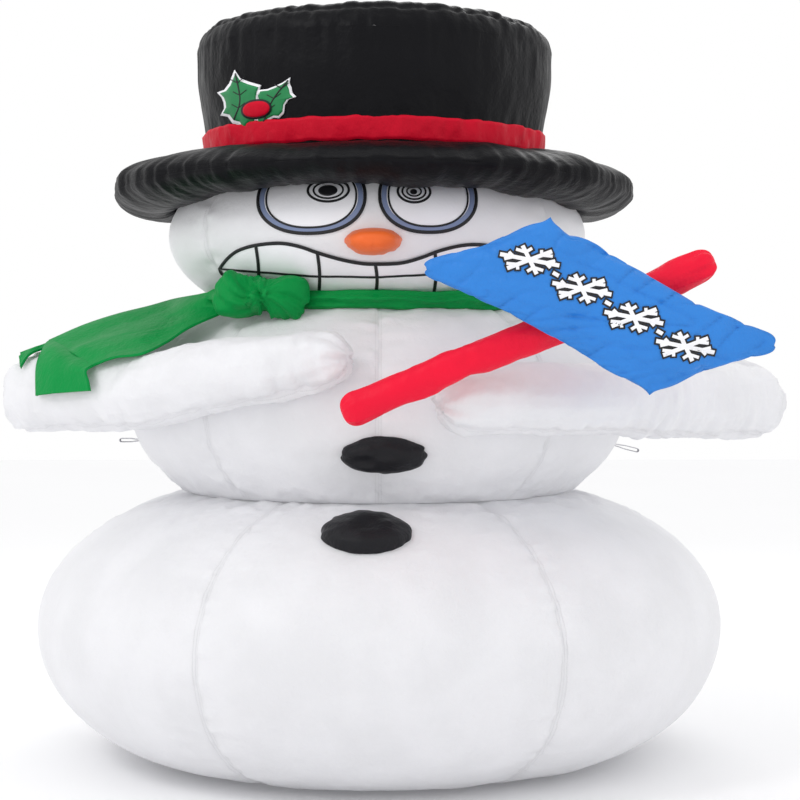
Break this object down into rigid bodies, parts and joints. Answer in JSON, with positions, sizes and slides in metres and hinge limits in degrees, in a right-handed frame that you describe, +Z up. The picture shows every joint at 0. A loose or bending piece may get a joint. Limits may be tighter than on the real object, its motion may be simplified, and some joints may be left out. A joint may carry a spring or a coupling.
{
  "type": "inflatable yard snowman",
  "caption": "Inflated snowman in a top hat and scarf, held upright by a fan in its base, holding a sign board on a post.",
  "frame": {"origin": "centre of the floor panel's underside, on the ground", "axes": "+Z up, -Y towards the face, +X to the right seen from the front"},
  "size_m": [1.894, 1.7615, 1.83],
  "materials": {
    "white": "thin coated polyester, slightly glossy",
    "black": "thin coated polyester",
    "red": "thin coated polyester",
    "post_red": "thin coated polyester",
    "green": "thin coated polyester",
    "blue": "thin coated polyester",
    "orange": "thin coated polyester",
    "print": "printed white appliqué",
    "button": "coated polyester",
    "webbing": "woven webbing",
    "plastic": "moulded, fine texture",
    "impeller": "moulded",
    "steel": "brushed",
    "zipper": "woven tape with coil teeth",
    "lamp": "clear moulded cap",
    "lead": "flexible jacket"
  },
  "bodies": {
    "snowman": {"base_floor_panel": "white", "base_gore_front": "white", "base_gore_front_right": "white", "base_gore_back_right": "white", "base_gore_back": "white", "base_gore_back_left": "white", "base_gore_front_left": "white", "torso_gore_front_left": "white", "torso_gore_front_right": "white", "torso_gore_side_right": "white", "torso_gore_back_right": "white", "torso_gore_back_left": "white", "torso_gore_side_left": "white", "head_face_panel": "white", "head_gore_right": "white", "head_gore_back": "white", "head_gore_left": "white", "arm_sleeve_left": "white", "arm_sleeve_right": "white", "hat_crown_front": "black", "hat_crown_back": "black", "hat_crown_top": "black", "hat_brim": "black", "hat_band": "red", "holly_berry": "red", "sign_post": "post_red", "holly_leaf_left": "green", "holly_leaf_right": "green", "scarf_neck_band": "green", "scarf_knot": "green", "sign_board": "blue", "carrot_nose": "orange", "eye_patch_left": "print", "eye_patch_right": "print", "mouth_patch": "print", "button_upper": "button", "button_lower": "button", "blower_housing": "plastic", "blower_clamp_ring": "plastic", "blower_grille": "plastic", "power_inlet": "plastic", "blower_motor": "steel", "zipper_tape": "zipper", "lamp_low": "lamp", "lamp_middle": "lamp", "lamp_high": "lamp", "light_lead": "lead"},
    "impeller": {"blower_impeller": "impeller", "motor_shaft": "steel"},
    "slider": {"zipper_slider": "steel"},
    "pull": {"zipper_pull": "steel"},
    "scarf_tail": {"scarf_tail": "green", "scarf_under_tail": "green"},
    "scarf_end": {"scarf_tail_end": "green"},
    "tether_left": {"tether_tab_left": "webbing"},
    "tether_right": {"tether_tab_right": "webbing"},
    "stake_side_right": {"stake_loop_side_right": "webbing"},
    "stake_side_left": {"stake_loop_side_left": "webbing"},
    "stake_back_right": {"stake_loop_back_right": "webbing"},
    "stake_back_left": {"stake_loop_back_left": "webbing"}
  },
  "joints": [
    {"name": "impeller_spin", "type": "hinge", "parent": "snowman", "child": "impeller", "pos_m": [0, 0.79527, 0.22998], "axis": [0, 0.9272, -0.3746], "continuous": true},
    {"name": "zipper_slide", "type": "hinge", "parent": "snowman", "child": "slider", "pos_m": [0.27605, 0.51917, 0.33], "axis": [-0.8829, 0.4695, 0], "range_deg": [0, 38]},
    {"name": "zipper_pull_flip", "type": "hinge", "parent": "slider", "child": "pull", "pos_m": [0.40053, 0.75329, 0.41615], "axis": [0.8829, -0.4695, 0], "range_deg": [0, 150]},
    {"name": "scarf_tail_lift", "type": "hinge", "parent": "snowman", "child": "scarf_tail", "pos_m": [-0.401, -0.305, 1.112], "axis": [-0.49, 0.7801, 0.389], "range_deg": [0, 35]},
    {"name": "scarf_end_swing", "type": "hinge", "parent": "scarf_tail", "child": "scarf_end", "pos_m": [-0.731, -0.344, 0.99], "axis": [-0.5091, 0.8302, 0.2271], "range_deg": [0, 60]},
    {"name": "tether_left_flap", "type": "hinge", "parent": "snowman", "child": "tether_left", "pos_m": [-0.61525, 0, 0.779], "axis": [0, 1, 0], "range_deg": [-60, 60], "stiffness_Nm_per_rad": 0.05},
    {"name": "tether_right_flap", "type": "hinge", "parent": "snowman", "child": "tether_right", "pos_m": [0.59991, 0, 0.766], "axis": [0, 1, 0], "range_deg": [-46, 60], "stiffness_Nm_per_rad": 0.05},
    {"name": "stake_side_right_swing", "type": "hinge", "parent": "snowman", "child": "stake_side_right", "pos_m": [0.622, 0, 0.0265], "axis": [0, 1, 0], "range_deg": [-45, 45]},
    {"name": "stake_side_left_swing", "type": "hinge", "parent": "snowman", "child": "stake_side_left", "pos_m": [-0.622, 0, 0.0265], "axis": [0, 1, 0], "range_deg": [-45, 45]},
    {"name": "stake_back_right_swing", "type": "hinge", "parent": "snowman", "child": "stake_back_right", "pos_m": [0.29201, 0.54919, 0.0265], "axis": [1, 0, 0], "range_deg": [-45, 45]},
    {"name": "stake_back_left_swing", "type": "hinge", "parent": "snowman", "child": "stake_back_left", "pos_m": [-0.29201, 0.54919, 0.0265], "axis": [1, 0, 0], "range_deg": [-45, 45]}
  ]
}
